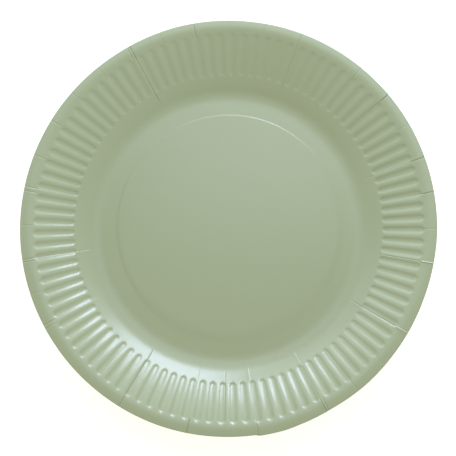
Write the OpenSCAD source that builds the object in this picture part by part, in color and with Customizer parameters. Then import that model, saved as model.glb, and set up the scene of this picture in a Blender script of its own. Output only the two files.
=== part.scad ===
/*
A disposable paper plate, pressed from one disc of coated board.
The plate stands on a flat ring of its floor, and inside that ring the floor is a little raised.
Outside the ring the board bends up into a wall that is steepest at its foot and eases outwards,
and the wall ends in a plain, nearly level rim. Grooves are pressed into the wall from above. They
show below as ribs, because the board keeps its thickness.
All sizes are in millimetres. The centre of the underside is the origin, and +Z is up.
*/

/* [Plate] */
// Diameter across the rim
plate_d = 230; // [216:1:280]
// Thickness of the board
board_t = 0.45; // [0.3:0.05:0.8]

/* [Floor] */
// Diameter of the flat floor, out to where the board begins to bend up
floor_d = 141; // [110:1:152]
// Width of the flat ring that the plate stands on
foot_w = 6.8; // [4:0.1:20]
// Height of the centre above the ring
centre_rise = 0.3; // [0.2:0.05:0.8]
// Width of the step between the ring and the raised centre
step_w = 1.3; // [1.3:0.1:3]

/* [Wall] */
// Width of the bend between the floor and the wall
bend_w = 9.5; // [6:0.5:18]
// Slope of the wall at its foot, in degrees, where it is steepest
foot_slope = 36; // [30:1:48]
// Slope of the wall where it meets the rim, in degrees
top_slope = 18; // [12:1:26]

/* [Rim] */
// Width of the plain rim outside the wall
rim_w = 7; // [4:0.5:10]
// Slope of the rim at its outer edge, in degrees below level
edge_slope = 5; // [0:1:30]

/* [Flutes] */
// Number of grooves around the wall
flute_count = 100; // [40:1:104]
// Depth of a groove
flute_depth = 0.55; // [0.2:0.05:0.8]
// Width of a groove at its inner end
flute_in_w = 3.6; // [3.2:0.1:4]
// Width of a groove at its outer end
flute_out_w = 4.6; // [3.2:0.1:5.4]
// Width of each sloping side of a groove
flank_w = 1.4; // [0.6:0.1:1.5]
// Length of the sloping part at each end of a groove
ramp_l = 1.6; // [1:0.1:3]
// Plain wall between the bend and the inner ends of the grooves
flute_in_gap = 5; // [0.5:0.5:8]
// Plain wall between the outer ends of the grooves and the rim
flute_out_gap = 0.5; // [0.5:0.5:5]

/* [Hidden] */
$fn = 200;
board_colour = [0.65, 0.69, 0.58];

// Radii of the zones of the plate, from the centre out
floor_r = floor_d / 2;
foot_in_r = floor_r - foot_w;
centre_r = foot_in_r - step_w;
wall_in_r = floor_r + bend_w;
wall_out_r = plate_d / 2 - rim_w;

// The bend, the wall and the rim are arcs that meet at equal slopes. Radii are of the upper face
bend_arc_r = bend_w / sin(foot_slope);
wall_arc_r = (wall_out_r - wall_in_r) / (sin(foot_slope) - sin(top_slope));
rim_arc_r = rim_w / (sin(top_slope) + sin(edge_slope));

// Centres of those arcs, as radius and height: the bend's lies above the board, the others below
bend_centre = [floor_r, board_t + bend_arc_r];
wall_centre = bend_centre + (bend_arc_r + wall_arc_r) * [sin(foot_slope), -cos(foot_slope)];
rim_centre = wall_centre + (wall_arc_r - rim_arc_r) * [-sin(top_slope), cos(top_slope)];

// The step between the ring and the raised centre is two equal arcs
step_slope = 2 * atan(centre_rise / step_w);
step_arc_r = step_w / 2 / sin(step_slope);
step_steps = 4;

// The places along a groove where its shape changes: radius, and share of the full depth
flute_in_r = wall_in_r + flute_in_gap;
flute_out_r = wall_out_r - flute_out_gap;
flute_stations = [[flute_in_r, 0], [flute_in_r + ramp_l, 1],
    [flute_out_r - ramp_l, 1], [flute_out_r, 0]];
pitch = 360 / flute_count;

// The wall begins as flat board that overlaps the floor
overlap_w = foot_w / 2;
bend_steps = 3;
rim_steps = 4;

// The unit normal of the upper face where it has this slope, as radius and height
function normal(slope) = [-sin(slope), cos(slope)];

// Points of the upper face as [radius, height, slope], on the bend, the wall and the rim
function on_bend(slope) = concat(bend_centre - bend_arc_r * normal(slope), slope);
function on_wall(r) =
    let (slope = asin((wall_centre.x - r) / wall_arc_r))
    concat(wall_centre + wall_arc_r * normal(slope), slope);
function on_rim(slope) = concat(rim_centre + rim_arc_r * normal(slope), slope);

// A point in space: a place on the upper face, sunk into the board, at an angle about the axis
function place(p, sunk, angle) =
    let (q = [p.x, p.y] - sunk * normal(p.z))
    [q.x * cos(angle), q.x * sin(angle), q.y];

// A plain ring has one point for each groove, in the middle of the land before it
function plain_ring(p, sunk) = [for (i = [0 : flute_count - 1]) place(p, sunk, i * pitch)];

// A fluted ring has four points for each groove: its two edges, with the edges of its flat bottom
// between them
function fluted_ring(r, depth, sunk) =
    let (part = (r - flute_in_r) / (flute_out_r - flute_in_r),
        half_w = (flute_in_w + (flute_out_w - flute_in_w) * part) / 2,
        p = on_wall(r))
    [for (i = [0 : flute_count - 1], side = [[-1, 0], [-1, 1], [1, 1], [1, 0]])
        place(p, sunk + depth * side[1],
            (i + 0.5) * pitch + side[0] * (half_w - flank_w * side[1]) / r * 180 / PI)];

// All the rings of one face of the board, from the floor to the edge of the rim
function rings(sunk) = concat(
    [plain_ring([floor_r - overlap_w, board_t, 0], sunk)],
    [for (i = [0 : bend_steps]) plain_ring(on_bend(foot_slope * i / bend_steps), sunk)],
    [for (s = flute_stations) fluted_ring(s[0], flute_depth * s[1], sunk)],
    [for (i = [1 : rim_steps])
        plain_ring(on_rim(top_slope - (top_slope + edge_slope) * i / rim_steps), sunk)]);

// Joins ring a to ring b, whose first points have the numbers a0 and b0
function strip(a, b, a0, b0) =
    let (n = flute_count)
    len(a) == len(b)
        ? [for (i = [0 : len(a) - 1]) let (j = (i + 1) % len(a))
            each [[a0 + i, b0 + i, b0 + j], [a0 + i, b0 + j, a0 + j]]]
        : len(a) < len(b)
            ? [for (i = [0 : n - 1])
                let (j = (i + 1) % n, k = b0 + 4 * i, h = b0 + (4 * i + 4 * n - 1) % (4 * n))
                each [[a0 + i, h, k], [a0 + i, k, k + 1], [a0 + i, k + 1, k + 2],
                    [a0 + i, k + 2, a0 + j], [a0 + j, k + 2, k + 3]]]
            : [for (t = strip(b, a, b0, a0)) [t[0], t[2], t[1]]];

// The number of points in the first n rings of a list
function total(list, n) = n == 0 ? 0 : len(list[n - 1]) + total(list, n - 1);

// The same faces, seen from their other side
function turned(faces) = [for (f = faces) [f[0], f[2], f[1]]];

// One list out of a list of lists
function flat(lists) = [for (l = lists) each l];

// The bend, the wall and the rim: an upper and a lower face, closed at the inner and outer edges
module wall_and_rim() {
    upper = rings(0);
    lower = rings(board_t);
    last = len(upper) - 1;
    size = total(upper, last + 1);
    polyhedron(
        points = flat(concat(upper, lower)),
        faces = concat(
            flat([for (i = [0 : last - 1])
                turned(strip(upper[i], upper[i + 1], total(upper, i), total(upper, i + 1)))]),
            flat([for (i = [0 : last - 1])
                strip(lower[i], lower[i + 1], size + total(upper, i), size + total(upper, i + 1))]),
            strip(upper[0], lower[0], 0, size),
            turned(strip(upper[last], lower[last], total(upper, last), size + total(upper, last)))));
}

// One face of the floor, from the middle out: the raised centre, the step's two arcs, the ring
function floor_face(sunk) = concat(
    [[0, centre_rise + board_t - sunk]],
    [for (i = [0 : step_steps])
        [centre_r, centre_rise + board_t - step_arc_r]
            + (step_arc_r - sunk) * [sin(step_slope * i / step_steps), cos(step_slope * i / step_steps)]],
    [for (i = [step_steps - 1 : -1 : 0])
        [foot_in_r, board_t + step_arc_r]
            - (step_arc_r + sunk) * [sin(step_slope * i / step_steps), cos(step_slope * i / step_steps)]],
    [[floor_r - overlap_w / 2, board_t - sunk]]);

function backwards(list) = [for (i = [len(list) - 1 : -1 : 0]) list[i]];

// The floor's section runs out along its upper face and back along its lower one
module floor_section() {
    polygon(concat(floor_face(0), backwards(floor_face(board_t))));
}

module plate() {
    color(board_colour)
        union() {
            wall_and_rim();
            rotate_extrude()
                floor_section();
        }
}

plate();
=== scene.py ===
# %% [markdown]
# # A pressed paper plate
# The real plate is one disc of board with a sage-green coating. A heated press bends it up into a
# wall and presses a hundred grooves into that wall. Radial score lines let the wide disc gather
# itself into the smaller rim. Everything here is one thin shell, so it is one mesh. It stands in
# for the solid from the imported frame, with the same size and very nearly the same section, and
# adds what is too fine for that solid: grooves with round ends and uneven depth, score lines, a
# step in the floor that fades in places, a slightly uneven rim and the look of the board.

import bpy
import numpy as np
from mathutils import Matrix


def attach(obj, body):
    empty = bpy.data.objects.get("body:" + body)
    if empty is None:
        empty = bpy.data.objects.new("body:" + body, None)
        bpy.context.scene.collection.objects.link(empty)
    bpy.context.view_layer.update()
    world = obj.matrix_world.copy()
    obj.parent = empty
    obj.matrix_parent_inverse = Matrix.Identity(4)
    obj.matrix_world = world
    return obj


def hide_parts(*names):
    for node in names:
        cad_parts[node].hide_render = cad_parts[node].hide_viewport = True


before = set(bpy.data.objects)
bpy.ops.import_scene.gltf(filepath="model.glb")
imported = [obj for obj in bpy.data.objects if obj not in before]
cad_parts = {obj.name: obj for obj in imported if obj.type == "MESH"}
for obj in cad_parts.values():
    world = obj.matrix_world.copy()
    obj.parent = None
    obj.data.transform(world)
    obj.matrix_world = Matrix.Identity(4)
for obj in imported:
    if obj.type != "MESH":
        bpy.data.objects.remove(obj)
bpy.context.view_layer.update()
print("nodes in the frame:", sorted(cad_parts))

# %% [markdown]
# ## The section of the plate
# Cut through its middle, the plate is one smooth line: a raised centre, a small step, the flat
# ring that it stands on, a bend, a wall that eases outwards and a nearly level rim. One could
# draw this as a curve and spin it. Here it is a table of slopes along the radius instead, because
# slope is what the light shows, and the height is the sum of the slopes. Board springs back
# unevenly after the press, so round most of the plate the wall is one long curve, and towards one
# side it is straighter, with a sharper bend at either end. Each of the two has its table, and the
# plate goes smoothly from one to the other. Sizes are in millimetres until the mesh is made.

# %% Sizes of the section
METRES_PER_MM = 0.001
PLATE_R = 115.0
BOARD_T = 0.45
FLOOR_R = 70.5
CENTRE_RISE = 0.3
# one point every 0.025 mm
SECTION_POINTS = 4601
curved_slopes = np.array([
    # radius and slope in degrees: level floor
    [0.0, 0.0], [FLOOR_R, 0.0],
    # bend
    [71.8, 5.0], [74.6, 13.5], [77.3, 22.0], [79.0, 28.0], [80.4, 33.5], [81.5, 35.5],
    # wall
    [83.5, 35.5], [88.4, 32.2], [91.1, 30.2], [96.7, 25.8], [102.2, 21.4], [105.6, 18.4],
    # rim
    [107.5, 16.5], [108.9, 14.0], [110.4, 7.5], [111.9, 3.5], [PLATE_R, 2.0],
])
straight_slopes = np.array([
    # level floor
    [0.0, 0.0], [69.9, 0.0],
    # bend
    [71.1, 5.0], [73.6, 14.5], [76.1, 24.5], [77.3, 30.2], [78.5, 28.6], [80.0, 26.5],
    # wall
    [82.0, 25.4], [107.0, 24.8],
    # rim
    [109.3, 24.0], [110.8, 18.0], [112.0, 10.0], [113.2, 5.0], [PLATE_R, 3.5],
])
fine_r = np.linspace(0.0, PLATE_R, SECTION_POINTS)


def heights_from(slopes):
    """Height of the upper face along fine_r: the sum of the slopes, by the trapezoid rule."""
    rise = np.tan(np.radians(np.interp(fine_r, slopes[:, 0], slopes[:, 1])))
    climbs = (rise[1:] + rise[:-1]) / 2.0 * np.diff(fine_r)
    return BOARD_T + np.concatenate([[0.0], np.cumsum(climbs)])


curved_height = heights_from(curved_slopes)
straight_height = heights_from(straight_slopes)
print("rim heights in mm:", curved_height[-1].round(2), "and", straight_height[-1].round(2))


# %% Radius and angle to height and slope
STRAIGHT_TOWARDS = 80.0
MIX_FROM_COSINE, MIX_TO_COSINE = -0.5, 0.6
HALF_TURN = 180.0
WALL_MIDDLE_R = 95.0


def smooth(x):
    """0 below 0, 1 above 1, and 3x^2 - 2x^3 between, which starts and ends level."""
    x = np.clip(x, 0.0, 1.0)
    return x * x * (3.0 - 2.0 * x)


def section(r, angle):
    """Height and slope in radians of the upper face. The share of the straight section goes
    smoothly from 0 to 1 as the cosine of the angle from its side grows."""
    towards = np.cos(np.radians(angle - STRAIGHT_TOWARDS))
    share = smooth((towards - MIX_FROM_COSINE) / (MIX_TO_COSINE - MIX_FROM_COSINE))
    curved = np.interp(r, fine_r, curved_height)
    straight = np.interp(r, fine_r, straight_height)
    curved_slope = np.radians(np.interp(r, curved_slopes[:, 0], curved_slopes[:, 1]))
    straight_slope = np.radians(np.interp(r, straight_slopes[:, 0], straight_slopes[:, 1]))
    height = curved + (straight - curved) * share
    return height, curved_slope + (straight_slope - curved_slope) * share


both_sides = np.array([STRAIGHT_TOWARDS, STRAIGHT_TOWARDS + HALF_TURN])
middle_slopes = np.degrees(section(WALL_MIDDLE_R, both_sides)[1])
print("slope half-way up the wall, straight side and opposite:", middle_slopes.round(1))


# %% [markdown]
# ## The step in the floor
# The ring that the plate stands on shows from above as a thin line round the floor, but only in
# parts. Where the press met the board hard, the step is crisp, and elsewhere it fades into a soft
# slope. The line also runs a little off the plate's centre. So the step's width and place change
# with the angle.

# %% Step along its way round
WHOLE_TURN = 360.0
STEP_MIDDLE_R = 62.2
STEP_OFF_CENTRE = 1.0
STEP_TOWARDS = 65.0
step_table = np.array([
    # angle in degrees and width of the step in mm
    [0, 5.0], [20, 6.0], [40, 1.3], [52, 1.1], [60, 1.05], [85, 1.0], [120, 1.0], [150, 1.05],
    [162, 1.3], [175, 2.5], [180, 2.6], [200, 2.3], [220, 4.5], [240, 7.0], [300, 9.0], [320, 9.0],
    [340, 4.5], [360, 5.0],
])


def floor_step(r, angle):
    """Height that the step adds inside itself. It is smooth, as wide as the table says there, and
    its middle runs along a circle a little off the plate's centre."""
    width = np.interp(np.mod(angle, WHOLE_TURN), step_table[:, 0], step_table[:, 1])
    middle = STEP_MIDDLE_R + STEP_OFF_CENTRE * np.cos(np.radians(angle - STEP_TOWARDS))
    return CENTRE_RISE * smooth((middle - r) / width + 0.5)


print("the step is", step_table[:, 1].min(), "to", step_table[:, 1].max(), "mm wide")


# %% [markdown]
# ## The grooves
# The press closes on the wall with a hundred blunt teeth. Each leaves a groove with a nearly flat
# bottom, soft sides and round ends, wider towards the rim. The teeth are not spaced quite evenly
# round this plate, so the angle of a groove is a slightly wavy function of its number. They also
# bite less deep where the wall is straight, so a table gives the share of the full depth. Cutting
# the grooves with booleans would leave sharp edges, and a bump map would leave the outline of the
# ribs below smooth. So they are real dips in the surface: the depth depends on the distance from
# the groove's middle line, as in a capsule whose radius grows outwards.

# %% Groove shape
GROOVES = 100
# in mm. A flank is the soft side of a groove, and W stands for a width
GROOVE_DEPTH = 0.58
GROOVE_IN_R = 85.0
GROOVE_OUT_R = 107.7
GROOVE_IN_W = 4.7
GROOVE_OUT_W = 6.0
FLANK_IN_W = 2.0
FLANK_OUT_W = 2.6
INNER_END_W, OUTER_END_W = 0.95, 1.4
END_HALF_W = 2.35
NEVER_ZERO = 1e-6
press_table = np.array([
    # angle in degrees and share of the full depth
    [0, 0.98], [15, 0.83], [30, 0.63], [45, 0.48], [60, 0.38], [90, 0.32], [105, 0.32],
    [120, 0.37], [135, 0.46], [150, 0.64], [165, 0.82], [180, 0.82], [195, 0.84], [210, 0.80],
    [225, 0.75], [240, 0.70], [255, 1.00], [270, 1.30], [285, 1.00], [300, 0.85], [315, 0.66],
    [330, 0.82], [345, 0.85], [360, 0.98],
])
# all in degrees
GROOVE_OFFSET = 1.43
SLOW_WAVE, SLOW_WAVE_AT = 1.06, 211.0
QUICK_WAVE, QUICK_WAVE_AT = 0.17, 95.0


def groove_angle(number):
    """Angle of a groove in degrees. They are 3.6 degrees apart, less two waves round the plate,
    with one and with two periods in the whole turn."""
    even = number * WHOLE_TURN / GROOVES - GROOVE_OFFSET
    slow = SLOW_WAVE * np.cos(np.radians(even - SLOW_WAVE_AT))
    return even - slow - QUICK_WAVE * np.cos(2.0 * np.radians(even - QUICK_WAVE_AT))


def groove_dip(r, number):
    """Depth of the grooves. The distance away is taken from the nearest point of the groove's
    middle line. Where it is the half width there is no dip, and from there the dip goes smoothly
    to full, one flank further in. The sides get softer outwards, and the inner end is the
    steepest."""
    across = (number - np.round(number)) * 2.0 * np.pi / GROOVES * r
    nearest = np.clip(r, GROOVE_IN_R + END_HALF_W, GROOVE_OUT_R - END_HALF_W)
    share = (nearest - GROOVE_IN_R) / (GROOVE_OUT_R - GROOVE_IN_R)
    half_w = (GROOVE_IN_W + (GROOVE_OUT_W - GROOVE_IN_W) * share) / 2.0
    side_w = FLANK_IN_W + (FLANK_OUT_W - FLANK_IN_W) * share
    away = np.hypot(across, r - nearest)
    endwards = ((r - nearest) / np.maximum(away, NEVER_ZERO)) ** 2
    end_w = np.where(r > nearest, OUTER_END_W, INNER_END_W)
    flank_w = side_w + (np.minimum(side_w, end_w) - side_w) * endwards
    angle = np.mod(groove_angle(number), WHOLE_TURN)
    pressed = np.interp(angle, press_table[:, 0], press_table[:, 1])
    return GROOVE_DEPTH * pressed * smooth((half_w - away) / flank_w)


depths = (GROOVE_DEPTH * press_table[:, 1]).round(2)
print(GROOVES, "grooves,", depths.min(), "to", depths.max(), "mm deep")


# %% [markdown]
# ## The score lines
# Before pressing, the disc is scored with 36 radial lines. Where the board gathers, a score line
# closes into a thin fold: most often a fine dark slit, here and there a fine ridge, and in some
# places one side stands a little higher. All of them show on the rim, a few as a pair of slits,
# and some run on down the wall, fainter. They are dips and rises of the surface too, much
# narrower than a groove. Each has its row in a table, because no two of them closed alike.

# %% Score line shape
# in mm
SLIT_HALF_W = 0.32
SLIT_DEPTH = 0.32
STEP_RISE_W = 0.35
STEP_FADE_W = 2.2
RIM_FROM = 106.5
RIM_BLEND_W = 2.0
WALL_BLEND_W = 4.0
# depth of a twin as a share of its line's, and half of the angle between two lines in degrees
TWIN_SHARE = 0.7
HALF_SCORE_GAP = 5.0
score_lines = np.array([
    # angle in degrees, depth on the rim and on the wall as shares of a full slit, or less than 0
    # for a ridge, radius where the wall part starts, gap to a twin in degrees, and height in mm
    # that the board steps up over the line, or down if less than 0
    [0.0, 0.4, 0.0, 104.0, 0.0, 0.0], [10.2, 1.2, 0.3, 98.0, 0.0, 0.0],
    [20.1, 1.2, 0.4, 79.0, 0.0, 0.0], [30.2, 0.35, 0.0, 104.0, 0.0, 0.0],
    [40.0, 1.3, 0.3, 92.0, 0.0, 0.0], [50.5, 0.5, 0.0, 104.0, 0.0, 0.0],
    [60.0, 0.15, 0.0, 104.0, 0.0, 0.0], [69.4, 0.7, 0.7, 77.0, 0.0, 0.0],
    [80.0, 0.2, 0.0, 104.0, 0.0, 0.0], [90.0, 0.2, 0.0, 104.0, 0.0, 0.0],
    [99.7, 0.9, 0.0, 104.0, 0.0, 0.0], [109.5, 0.2, 0.0, 104.0, 0.0, 0.0],
    [118.5, 1.3, 0.9, 78.0, 0.8, 0.0], [129.0, 0.2, 0.0, 104.0, 0.0, 0.0],
    [139.0, 0.4, 0.0, 104.0, 0.0, 0.0], [148.5, 0.5, 0.0, 104.0, 0.0, 0.0],
    [159.2, 0.35, 0.0, 104.0, 0.0, 0.0], [168.2, 0.6, 0.0, 104.0, 1.2, 0.06],
    [179.0, 0.3, 0.0, 104.0, 0.0, 0.0], [188.6, 0.8, 0.3, 76.0, 0.7, 0.05],
    [198.5, 0.2, 0.0, 104.0, 0.0, 0.0], [207.6, 0.7, 0.2, 80.0, 1.1, 0.0],
    [218.6, 0.2, 0.0, 80.0, 0.0, 0.0], [228.6, 0.15, 0.3, 84.0, 0.0, 0.0],
    [238.2, 1.0, 1.0, 78.0, 0.0, 0.0], [248.2, 0.15, 0.0, 104.0, 0.0, 0.0],
    [258.4, 1.3, 0.2, 72.0, 0.0, 0.0], [268.8, 0.2, 0.7, 78.0, 0.0, 0.0],
    [278.3, 1.0, 0.1, 76.0, 0.0, -0.12], [288.0, 0.15, 0.0, 104.0, 0.0, 0.0],
    [298.2, 1.2, 0.1, 76.0, 0.8, -0.12], [308.8, 0.5, 0.2, 80.0, 0.0, 0.0],
    [319.0, 0.2, 0.0, 104.0, 0.0, 0.0], [329.7, -0.7, 0.8, 78.0, 0.0, -0.06],
    [340.0, 0.1, 0.0, 104.0, 0.0, 0.0], [350.4, -1.1, 0.6, 85.0, 0.0, 0.0],
])


def trough(across):
    """Depth across one slit, smoothly down to its middle and up again."""
    return SLIT_DEPTH * smooth(1.0 - np.abs(across) / SLIT_HALF_W)


def raised_side(across):
    """1 just past the line, reached within a third of a millimetre, and fading over two more."""
    return smooth(across / STEP_RISE_W) * (1.0 - smooth((across - STEP_RISE_W) / STEP_FADE_W))


def score_dip(r, angle):
    """Depth of the score lines at a radius and an angle in degrees. Each place belongs to the line
    nearest to it. A twin is a second, shallower slit beside the line, on the rim alone."""
    near = np.searchsorted(score_lines[:, 0], np.mod(angle + HALF_SCORE_GAP, WHOLE_TURN)) - 1
    line = np.moveaxis(score_lines[np.mod(near, len(score_lines))], -1, 0)
    at, rim_depth, wall_depth, starts, twin_gap, step = line
    apart = np.mod(angle - at + HALF_TURN, WHOLE_TURN) - HALF_TURN
    across = np.radians(apart) * r
    on_rim = smooth((r - RIM_FROM) / RIM_BLEND_W)
    runs = smooth((r - starts) / WALL_BLEND_W)
    dip = (rim_depth * on_rim + wall_depth * runs * (1.0 - on_rim)) * trough(across)
    twin = TWIN_SHARE * np.abs(rim_depth) * on_rim * trough(np.radians(apart - twin_gap) * r)
    lift = np.abs(step) * runs * raised_side(across * np.where(step < 0.0, -1.0, 1.0))
    return dip + np.where(twin_gap > 0.0, twin, 0.0) - lift


ridges = int((score_lines[:, 1] < 0.0).sum())
print(len(score_lines), "score lines, of which", ridges, "are ridges on the rim")


# %% [markdown]
# ## The uneven rim
# Pressed board springs back a little after it leaves the press, and not by the same amount all
# round. The outline wanders by about half a millimetre. In one place the rim has slipped outwards
# past a score line and stands as a small lip.

# %% Outline drift
DRIFT_FROM_R = 80.0
drift_table = np.array([
    # angle in degrees and drift of the outline in mm
    [0, 0.2], [30, 0.35], [60, 0.25], [85, 0.0], [105, 0.0], [122, -0.4], [150, -0.25],
    [170, -0.1], [185, 0.1], [218, 0.2], [250, 0.2], [270, -0.1], [277.5, -0.1], [278.5, 0.55],
    [286, 0.55], [290, 0.1], [300, -0.5], [312, -0.25], [322, -0.5], [340, -0.5], [350, -0.2],
    [360, 0.2],
])


def outward_drift(r, angle):
    """How far the board has moved out, in mm: the outline's drift, growing over the wall."""
    drift = np.interp(np.mod(angle, WHOLE_TURN), drift_table[:, 0], drift_table[:, 1])
    return drift * smooth((r - DRIFT_FROM_R) / (PLATE_R - DRIFT_FROM_R))


print("the outline drifts", drift_table[:, 1].min(), "to", drift_table[:, 1].max(), "mm")


# %% [markdown]
# ## Rings and spokes
# The mesh is a grid of rings and spokes. Every groove carries the same 16 spokes, nearly evenly
# spaced, and each score line adds a few of its own, close together, because it is so narrow. The
# underside is hardly seen, so it gets about half of them, and the plain floor a quarter. The
# rings stand close where the section turns, at the step and at the ends of the grooves. A strip
# of triangles joins a ring with many spokes to one with few, which keeps the shell closed.

# %% Spokes
ALL, HALF, QUARTER = 2, 1, 0
groove_spokes = np.array([
    # place across one groove as a share of the spacing, and the sets that use it
    [-0.5, QUARTER], [-0.44, ALL], [-0.38, HALF], [-0.315, ALL],
    [-0.25, QUARTER], [-0.19, ALL], [-0.13, HALF], [-0.065, ALL],
    [0.0, QUARTER], [0.065, ALL], [0.13, HALF], [0.19, ALL],
    [0.25, QUARTER], [0.315, ALL], [0.38, HALF], [0.44, ALL],
])
score_spokes = np.array([
    # degrees from a score line, and the sets that use it
    [-0.60, ALL], [-0.30, HALF], [-0.16, ALL], [-0.08, ALL], [0.0, HALF],
    [0.08, ALL], [0.16, ALL], [0.30, HALF], [0.60, ALL],
])
twin_spokes = np.array([[-0.16, ALL], [-0.08, ALL], [0.0, HALF], [0.08, ALL], [0.16, ALL]])
# in degrees
CLOSEST = 0.05
# the table that turns an angle back to a groove number runs this far past both its ends
GROOVES_BEYOND = 2.0
DENSE_POINTS = 20001


def all_spokes():
    """Angles of the spokes in degrees, with their groove numbers and sets, in order round the
    plate. A groove's spoke gives way where a score line's stands closer than CLOSEST."""
    number = (np.arange(GROOVES)[:, None] + groove_spokes[:, 0]).ravel()
    groove_set = np.tile(groove_spokes[:, 1], GROOVES)
    angle = groove_angle(number)
    twins = score_lines[score_lines[:, 4] > 0.0]
    twin_angle = (twins[:, :1] + twins[:, 4:5] + twin_spokes[:, 0]).ravel()
    score_angle = np.concatenate([(score_lines[:, :1] + score_spokes[:, 0]).ravel(), twin_angle])
    score_angle = angle.min() + np.mod(score_angle - angle.min(), WHOLE_TURN)
    score_set = np.concatenate([
        np.tile(score_spokes[:, 1], len(score_lines)), np.tile(twin_spokes[:, 1], len(twins)),
    ])
    apart = np.mod(angle[:, None] - score_angle + HALF_TURN, WHOLE_TURN) - HALF_TURN
    clear = np.abs(apart).min(axis=1) > CLOSEST
    angle = np.concatenate([angle[clear], score_angle])
    sets = np.concatenate([groove_set[clear], score_set]).astype(int)
    order = np.argsort(angle)
    dense = np.linspace(-GROOVES_BEYOND, GROOVES + GROOVES_BEYOND, DENSE_POINTS)
    number = np.interp(angle[order], groove_angle(dense), dense)
    return angle[order], number, sets[order]


spoke_angle, spoke_groove, spoke_set = all_spokes()
spokes = {name: np.flatnonzero(spoke_set <= name) for name in (ALL, HALF, QUARTER)}
full, half, quarter = (len(spokes[name]) for name in (ALL, HALF, QUARTER))
print("spokes above, below and on the floor:", full, half, quarter)

# %% Rings
# radii in mm
inner_rings = [12.0, 30.0, 48.0, 54.0, 56.0, 58.0, 59.4]
step_rings = np.concatenate([np.linspace(60.6, 62.6, 7), np.linspace(62.77, 63.67, 7)])
foot_rings = [64.5, 66.0, 69.0]
floor_rings = np.concatenate([inner_rings, step_rings, foot_rings])
wall_rings = np.array([
    # bend and foot of the wall
    70.5, 72.0, 73.5, 75.0, 76.5, 78.0, 80.0, 82.5,
    # inner ends of the grooves
    84.2, 84.9, 85.35, 85.8, 86.3, 86.9, 87.7,
    # along the grooves
    89.5, 92.5, 95.5, 98.5, 101.5, 103.8,
    # outer ends of the grooves
    104.8, 105.4, 105.9, 106.4, 106.85, 107.3, 107.8,
    # rim
    108.6, 109.6, 110.6, 111.6, 112.7, 113.8, 114.6, 115.0,
])
# the underside needs only some of them
under_floor_rings = floor_rings[[0, 1, 2, 3, 5, 7, 9, 11, 13, 15, 17, 19, 21, 22, 23]]
under_rings = wall_rings[
    [0, 2, 4, 6, 7, 9, 11, 13, 14, 16, 18, 20, 21, 23, 25, 27, 29, 31, 33, 35]
]
print("rings above:", len(floor_rings), "on the floor and", len(wall_rings), "outside it")


# %% Points of one face of the board
def face_points(rings, chosen, sunk):
    """Points of the board where each ring meets each chosen spoke, sunk that far below the upper
    face. Sinking goes along the normal of the section, so the board keeps its thickness."""
    r, angle = np.meshgrid(rings, spoke_angle[chosen], indexing="ij")
    number = np.broadcast_to(spoke_groove[chosen], r.shape)
    height, slope = section(r, angle)
    dip = groove_dip(r, number) + score_dip(r, angle) + sunk
    out = r + outward_drift(r, angle) + dip * np.sin(slope)
    up = height + floor_step(r, angle) - dip * np.cos(slope)
    turn = np.radians(angle)
    return np.stack([out * np.cos(turn), out * np.sin(turn), up], axis=-1)


edge_heights = face_points(wall_rings[-1:], spokes[ALL], 0.0)[..., 2].round(2)
print("the rim's edge is", edge_heights.min(), "to", edge_heights.max(), "mm high")


# %% Faces between rings
def grid_quads(rows, columns, first):
    """Four-sided faces, facing up, between rings that follow one another. Each ring is a row of
    as many points as there are columns, and closes on itself."""
    row, column = np.meshgrid(np.arange(rows - 1), np.arange(columns), indexing="ij")
    here = first + row * columns + column
    beside = first + row * columns + (column + 1) % columns
    return np.stack([here, here + columns, beside + columns, beside], axis=-1).reshape(-1, 4)


def joining_strip(many, few, inner_first, outer_first, outer_is_many):
    """Triangles between a ring with all spokes of many and a ring with only those of few. Each
    edge of the full ring goes to the nearer end of the sparse edge beside it, and one triangle is
    left over at the middle of each sparse edge."""
    at = np.searchsorted(many, few)
    count, size = len(few), len(many)
    span = np.mod(np.roll(at, -1) - at, size)
    middle = at + span // 2
    edge = np.arange(size) + at[0]
    cell = np.searchsorted(at, edge, side="right") - 1
    target = np.where(edge < middle[cell], cell, cell + 1) % count
    dense, sparse = (outer_first, inner_first) if outer_is_many else (inner_first, outer_first)
    fans = np.stack([sparse + target, dense + edge % size, dense + (edge + 1) % size], axis=-1)
    here = np.arange(count)
    left = np.stack([sparse + (here + 1) % count, sparse + here, dense + middle % size], axis=-1)
    triangles = np.concatenate([fans, left])
    return triangles if outer_is_many else triangles[:, ::-1]


# %% [markdown]
# ## One closed shell
# The upper face, the underside and the cut edge are built from those rings as arrays and joined
# by their shared points, so that the plate is one watertight skin with its faces outwards. The
# rim's cut edge stays flat-shaded, which keeps its corners crisp.

# %% Points and faces
blocks = []


def add_points(points):
    """Keeps these points and returns the number of the first."""
    first = sum(len(block) for block in blocks)
    blocks.append(points.reshape(-1, 3))
    return first


top_middle = add_points(np.array([[0.0, 0.0, BOARD_T + CENTRE_RISE]]))
top_floor = add_points(face_points(floor_rings, spokes[QUARTER], 0.0))
top_wall = add_points(face_points(wall_rings, spokes[ALL], 0.0))
low_middle = add_points(np.array([[0.0, 0.0, CENTRE_RISE]]))
low_floor = add_points(face_points(under_floor_rings, spokes[QUARTER], BOARD_T))
low_wall = add_points(face_points(under_rings, spokes[HALF], BOARD_T))
top_quads = np.concatenate([
    grid_quads(len(floor_rings), quarter, top_floor),
    grid_quads(len(wall_rings), full, top_wall),
])
low_quads = np.concatenate([
    grid_quads(len(under_floor_rings), quarter, low_floor),
    grid_quads(len(under_rings), half, low_wall),
])[:, ::-1]


def middle_fan(middle, first):
    """Triangles from the middle point to the first ring."""
    here = first + np.arange(quarter)
    beside = first + (np.arange(quarter) + 1) % quarter
    return np.stack([np.full(quarter, middle), here, beside], axis=-1)


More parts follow.
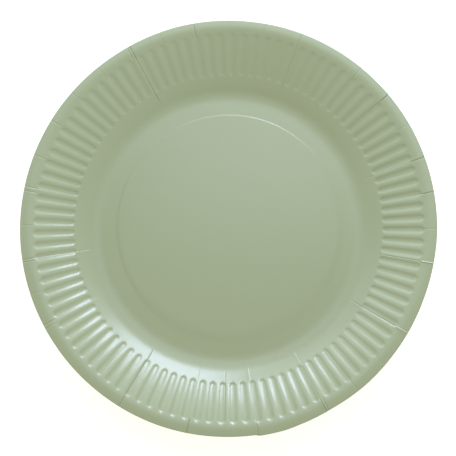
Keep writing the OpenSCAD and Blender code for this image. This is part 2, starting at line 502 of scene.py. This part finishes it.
top_floor_end = top_floor + (len(floor_rings) - 1) * quarter
low_floor_end = low_floor + (len(under_floor_rings) - 1) * quarter
top_edge = top_wall + (len(wall_rings) - 1) * full
low_edge = low_wall + (len(under_rings) - 1) * half
top_triangles = np.concatenate([
    middle_fan(top_middle, top_floor),
    joining_strip(spokes[ALL], spokes[QUARTER], top_floor_end, top_wall, True),
])
low_triangles = np.concatenate([
    middle_fan(low_middle, low_floor),
    joining_strip(spokes[HALF], spokes[QUARTER], low_floor_end, low_wall, True),
])[:, ::-1]
edge_triangles = joining_strip(spokes[ALL], spokes[HALF], top_edge, low_edge, False)
print("points in the shell:", sum(len(block) for block in blocks))


# %% Mesh
def mesh_from(name, points, groups):
    """A mesh object from points in mm and groups of (faces, material number, smooth or not)."""
    mesh = bpy.data.meshes.new(name)
    mesh.vertices.add(len(points))
    mesh.vertices.foreach_set("co", (points * METRES_PER_MM).astype(np.float32).ravel())
    corners = np.concatenate([faces.ravel() for faces, _, _ in groups])
    sides = np.concatenate([np.full(len(faces), faces.shape[1]) for faces, _, _ in groups])
    mesh.loops.add(len(corners))
    mesh.loops.foreach_set("vertex_index", corners.astype(np.int32))
    mesh.polygons.add(len(sides))
    mesh.polygons.foreach_set("loop_start", (np.cumsum(sides) - sides).astype(np.int32))
    materials = np.concatenate([np.full(len(faces), number) for faces, number, _ in groups])
    smoothed = np.concatenate([np.full(len(faces), shaded) for faces, _, shaded in groups])
    mesh.polygons.foreach_set("material_index", materials)
    mesh.polygons.foreach_set("use_smooth", smoothed)
    mesh.update(calc_edges=True)
    mesh.validate()
    made = bpy.data.objects.new(name, mesh)
    bpy.context.scene.collection.objects.link(made)
    return made


COATED, BARE = 0, 1
shell = [
    (top_quads, COATED, True), (top_triangles, COATED, True), (low_quads, BARE, True),
    (low_triangles, BARE, True), (edge_triangles, BARE, False),
]
plate = mesh_from("pressed_plate", np.concatenate(blocks), shell)
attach(plate, "root")
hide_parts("plate")
triangles = sum(len(faces) * (faces.shape[1] - 2) for faces, _, _ in shell)
print("triangles in the plate:", triangles)


# %% [markdown]
# ## Helpers for materials
# A material is a small net of nodes. One function turns a written colour into the linear light
# that the shader wants, and one adds a node with its settings and links. Blender's own menus
# build the same net by hand, but a function leaves a record of each value.

# %% Colour and node helpers
def linear(code):
    """A hex sRGB colour as linear red, green, blue and full alpha. Each channel c becomes
    c / 12.92 when dark, and otherwise ((c + 0.055) / 1.055) to the power 2.4."""
    c = np.array([int(code[i:i + 2], 16) for i in (1, 3, 5)]) / 255.0
    lit = np.where(c <= 0.04045, c / 12.92, ((c + 0.055) / 1.055) ** 2.4)
    return (*lit.tolist(), 1.0)


def add_node(tree, kind, settings=None, **inputs):
    """Adds a node to the tree. Settings are its own options. Each input takes a value or the
    output of another node, and goes by its name, or by its number as i0, i1 and so on."""
    node = tree.nodes.new(kind)
    for key, value in (settings or {}).items():
        setattr(node, key, value)
    for key, value in inputs.items():
        numbered = key[0] == "i" and key[1:].isdigit()
        socket = node.inputs[int(key[1:]) if numbered else key.replace("_", " ")]
        if isinstance(value, bpy.types.NodeSocket):
            tree.links.new(value, socket)
        else:
            socket.default_value = value
    return node


def new_material(name):
    """An empty node material and its tree with only the output node left."""
    material = bpy.data.materials.new(name)
    material.use_nodes = True
    tree = material.node_tree
    tree.nodes.clear()
    return material, tree, tree.nodes.new("ShaderNodeOutputMaterial")


print("#808080 in linear light:", round(linear("#808080")[0], 3))


# %% [markdown]
# ## Coated board
# The food side is solid bleached board with a pigmented coating, printed in one colour and
# varnished to a satin. The coat is smooth, but the fibres under it are not, so a highlight on it
# is a little cloudy, and the colour varies by a hundredth or so over a few millimetres. That is
# two noise patterns, one for the clouds and one for the fine waviness, and they drive colour,
# roughness and a faint bump.

# %% Coated board material
CLOUD_MM, CLOUD_DETAIL = 14.0, 3.0
WAVE_MM, WAVE_DETAIL = 2.2, 2.0
WAVE_HEIGHT_MM = 0.02
COAT_SMOOTHEST, COAT_ROUGHEST = 0.27, 0.31
COAT_IOR, COAT_SPECULAR = 1.5, 1.0


def noise(tree, place, size_mm, detail):
    """A noise pattern whose patches are about that many millimetres across."""
    scale = 1.0 / (size_mm * METRES_PER_MM)
    pattern = add_node(tree, "ShaderNodeTexNoise", Vector=place, Scale=scale, Detail=detail)
    return pattern.outputs["Fac"]


coated_board, tree, output = new_material("sage_coated_board")
place = add_node(tree, "ShaderNodeTexCoord").outputs["Object"]
clouds = noise(tree, place, CLOUD_MM, CLOUD_DETAIL)
waves = noise(tree, place, WAVE_MM, WAVE_DETAIL)
colour = add_node(tree, "ShaderNodeMix", {"data_type": "RGBA"}, i0=clouds,
                  i6=linear("#9ca887"), i7=linear("#9faa8a"))
rough = add_node(tree, "ShaderNodeMapRange", Value=waves,
                 To_Min=COAT_SMOOTHEST, To_Max=COAT_ROUGHEST)
bump = add_node(tree, "ShaderNodeBump", Height=waves, Strength=1.0,
                Distance=WAVE_HEIGHT_MM * METRES_PER_MM)
coat = add_node(tree, "ShaderNodeBsdfPrincipled", Base_Color=colour.outputs[2],
                Roughness=rough.outputs[0], Normal=bump.outputs[0],
                IOR=COAT_IOR, Specular_IOR_Level=COAT_SPECULAR)
tree.links.new(coat.outputs[0], output.inputs["Surface"])
print("made", coated_board.name)

# %% [markdown]
# ## Bare board
# The underside and the cut edge have no coating. They show the board itself: off-white, matt,
# with short fibres in it. Single fibres are too fine to show, so the noise stands for tufts of
# them, just under a millimetre across, in the colour and in a faint bump.

# %% Bare board material
FIBRE_MM, FIBRE_DETAIL = 0.9, 4.0
FIBRE_HEIGHT_MM = 0.03
BOARD_ROUGHNESS, BOARD_IOR = 0.85, 1.45
bare_board, tree, output = new_material("bare_bleached_board")
place = add_node(tree, "ShaderNodeTexCoord").outputs["Object"]
fibres = noise(tree, place, FIBRE_MM, FIBRE_DETAIL)
colour = add_node(tree, "ShaderNodeMix", {"data_type": "RGBA"}, i0=fibres,
                  i6=linear("#dedbd0"), i7=linear("#eceae2"))
bump = add_node(tree, "ShaderNodeBump", Height=fibres, Strength=1.0,
                Distance=FIBRE_HEIGHT_MM * METRES_PER_MM)
board = add_node(tree, "ShaderNodeBsdfPrincipled", Base_Color=colour.outputs[2],
                 Roughness=BOARD_ROUGHNESS, Normal=bump.outputs[0], IOR=BOARD_IOR)
tree.links.new(board.outputs[0], output.inputs["Surface"])
plate.data.materials.append(coated_board)
plate.data.materials.append(bare_board)
print("materials:", [material.name for material in plate.data.materials])

# %% [markdown]
# ## The room
# The plate lies on a plain white surface under soft light. The floor and the world show white
# where the camera looks at them directly or through a reflection, but light the plate only
# plainly. The floor adds most of its white as a glow and the rest as lit paint, so that a shadow
# still shows where the plate stands.

# %% Floor and world
# in mm
FLOOR_HALF = 3000.0
FLOOR_GAP = 0.1
# strengths and colours of light, which are linear
FLOOR_GLOW = 0.7
AMBIENT = 0.555
ROOM_TONE = (1.0, 0.99, 0.64, 1.0)
WHITE = (1.0, 1.0, 1.0, 1.0)
floor_corners = np.array([
    [-FLOOR_HALF, -FLOOR_HALF, -FLOOR_GAP], [FLOOR_HALF, -FLOOR_HALF, -FLOOR_GAP],
    [FLOOR_HALF, FLOOR_HALF, -FLOOR_GAP], [-FLOOR_HALF, FLOOR_HALF, -FLOOR_GAP],
])
floor = mesh_from("floor", floor_corners, [(np.array([[0, 1, 2, 3]]), 0, False)])


def seen_directly(tree):
    """1 for rays from the camera, mirror rays and rays through glass, and 0 for the rest."""
    path = add_node(tree, "ShaderNodeLightPath").outputs
    larger = {"operation": "MAXIMUM"}
    camera_ray, mirror_ray, glass_ray = (
        path[name] for name in ("Is Camera Ray", "Is Glossy Ray", "Is Transmission Ray"))
    two = add_node(tree, "ShaderNodeMath", larger, i0=camera_ray, i1=mirror_ray)
    return add_node(tree, "ShaderNodeMath", larger, i0=two.outputs[0], i1=glass_ray).outputs[0]


white_paint, tree, output = new_material("white_painted_floor")
paint = add_node(tree, "ShaderNodeBsdfDiffuse", Color=linear("#e7e7e7"))
times = {"operation": "MULTIPLY"}
glow_power = add_node(tree, "ShaderNodeMath", times, i0=seen_directly(tree), i1=FLOOR_GLOW)
glow = add_node(tree, "ShaderNodeEmission", Color=WHITE, Strength=glow_power.outputs[0])
both = add_node(tree, "ShaderNodeAddShader", i0=paint.outputs[0], i1=glow.outputs[0])
tree.links.new(both.outputs[0], output.inputs["Surface"])
floor.data.materials.append(white_paint)

world = bpy.data.worlds.new("soft_room")
bpy.context.scene.world = world
world.use_nodes = True
tree = world.node_tree
tree.nodes.clear()
power = add_node(tree, "ShaderNodeMapRange", Value=seen_directly(tree), To_Min=AMBIENT, To_Max=1.0)
tone = add_node(tree, "ShaderNodeMix", {"data_type": "RGBA"}, i0=seen_directly(tree),
                i6=ROOM_TONE, i7=WHITE)
air = add_node(tree, "ShaderNodeBackground", Color=tone.outputs[2], Strength=power.outputs[0])
tree.links.new(air.outputs[0], add_node(tree, "ShaderNodeOutputWorld").inputs["Surface"])
print("made", floor.name, "and", world.name)

# %% [markdown]
# ## The light
# Windows stand beyond the top of the picture, and the rest of the room is a little warmer than
# their light. Three low panes side by side graze the plate: they mirror in the sides of the
# grooves, and leave the wall under them dim. A high pane mirrors in the bend opposite, where the
# board is steep enough to catch it. Two fainter ones above let the brightness fade up the wall,
# and show in the floor's step. A dim ceiling light evens out the floor. One large soft lamp would
# be simpler, but it would wash the grooves out. A lamp's power is in watts: a panel of area A has
# to send out 4 times L times A to look as bright as a surface of strength L.


# %% Window panes
WATTS_PER_RADIANCE = 4.0


def panel(name, azimuth, elevation, distance, size, radiance, colour):
    """A rectangular lamp at that distance, azimuth and elevation in degrees, facing the plate."""
    lamp = bpy.data.lights.new(name, "AREA")
    lamp.shape = "RECTANGLE"
    lamp.size, lamp.size_y = size
    lamp.energy = WATTS_PER_RADIANCE * radiance * size[0] * size[1]
    lamp.color = colour
    turn, tilt = np.radians(azimuth), np.radians(elevation)
    stand = bpy.data.objects.new(name, lamp)
    out, up = distance * np.cos(tilt), distance * np.sin(tilt)
    stand.location = (out * np.cos(turn), out * np.sin(turn), up)
    stand.rotation_euler = (np.pi / 2 - tilt, 0.0, turn + np.pi / 2)
    bpy.context.scene.collection.objects.link(stand)
    return stand


WINDOW_AWAY = 0.4
CEILING_AWAY = 0.3
WINDOW_COLOUR = (0.66, 0.735, 1.0)
lamps = [
    # name, azimuth and elevation in degrees, distance, width and height in metres, radiance
    ("low_window_right", 46.0, 6.5, WINDOW_AWAY, 0.34, 0.055, 11.5),
    ("low_window_middle", 84.0, 5.0, WINDOW_AWAY, 0.22, 0.035, 21.0),
    ("low_window_left", 120.0, 9.0, WINDOW_AWAY, 0.26, 0.070, 9.0),
    ("high_window", 66.0, 29.0, WINDOW_AWAY, 0.30, 0.10, 7.6),
    ("upper_window", 82.0, 40.0, WINDOW_AWAY, 0.30, 0.10, 2.0),
    ("upper_window_left", 136.0, 40.0, WINDOW_AWAY, 0.34, 0.10, 0.8),
    ("ceiling", 78.0, 74.0, CEILING_AWAY, 0.15, 0.15, 0.87),
]
for name, azimuth, elevation, distance, width, height, radiance in lamps:
    lamp = panel(name, azimuth, elevation, distance, (width, height), radiance, WINDOW_COLOUR)
    print(name, "at", [round(x, 2) for x in lamp.location])

# %% [markdown]
# ## The camera
# The photograph looks straight down, and the plate nearly fills its square frame. The camera
# stands far away, so that the floor and the rim keep their proportions.

# %% Camera
SENSOR_MM = 36.0
PIXELS = 456
RIM_RADIUS_PIXELS = 208.39
CENTRE_RIGHT_PIXELS = 0.51
CENTRE_DOWN_PIXELS = 0.67
# in metres
CAMERA_UP = 2.6
RIM_HEIGHT = 0.018
FARTHEST_SEEN = 20.0
metres_per_pixel = PLATE_R * METRES_PER_MM / RIM_RADIUS_PIXELS
view = bpy.data.cameras.new("from_above")
view.sensor_width = SENSOR_MM
view.lens = SENSOR_MM * (CAMERA_UP - RIM_HEIGHT) / (PIXELS * metres_per_pixel)
view.clip_end = FARTHEST_SEEN
camera = bpy.data.objects.new("from_above", view)
camera.location = (
    -CENTRE_RIGHT_PIXELS * metres_per_pixel, CENTRE_DOWN_PIXELS * metres_per_pixel, CAMERA_UP,
)
bpy.context.scene.collection.objects.link(camera)
bpy.context.scene.camera = camera
bpy.context.scene.view_settings.view_transform = "Standard"
print("lens in mm:", round(view.lens, 1))
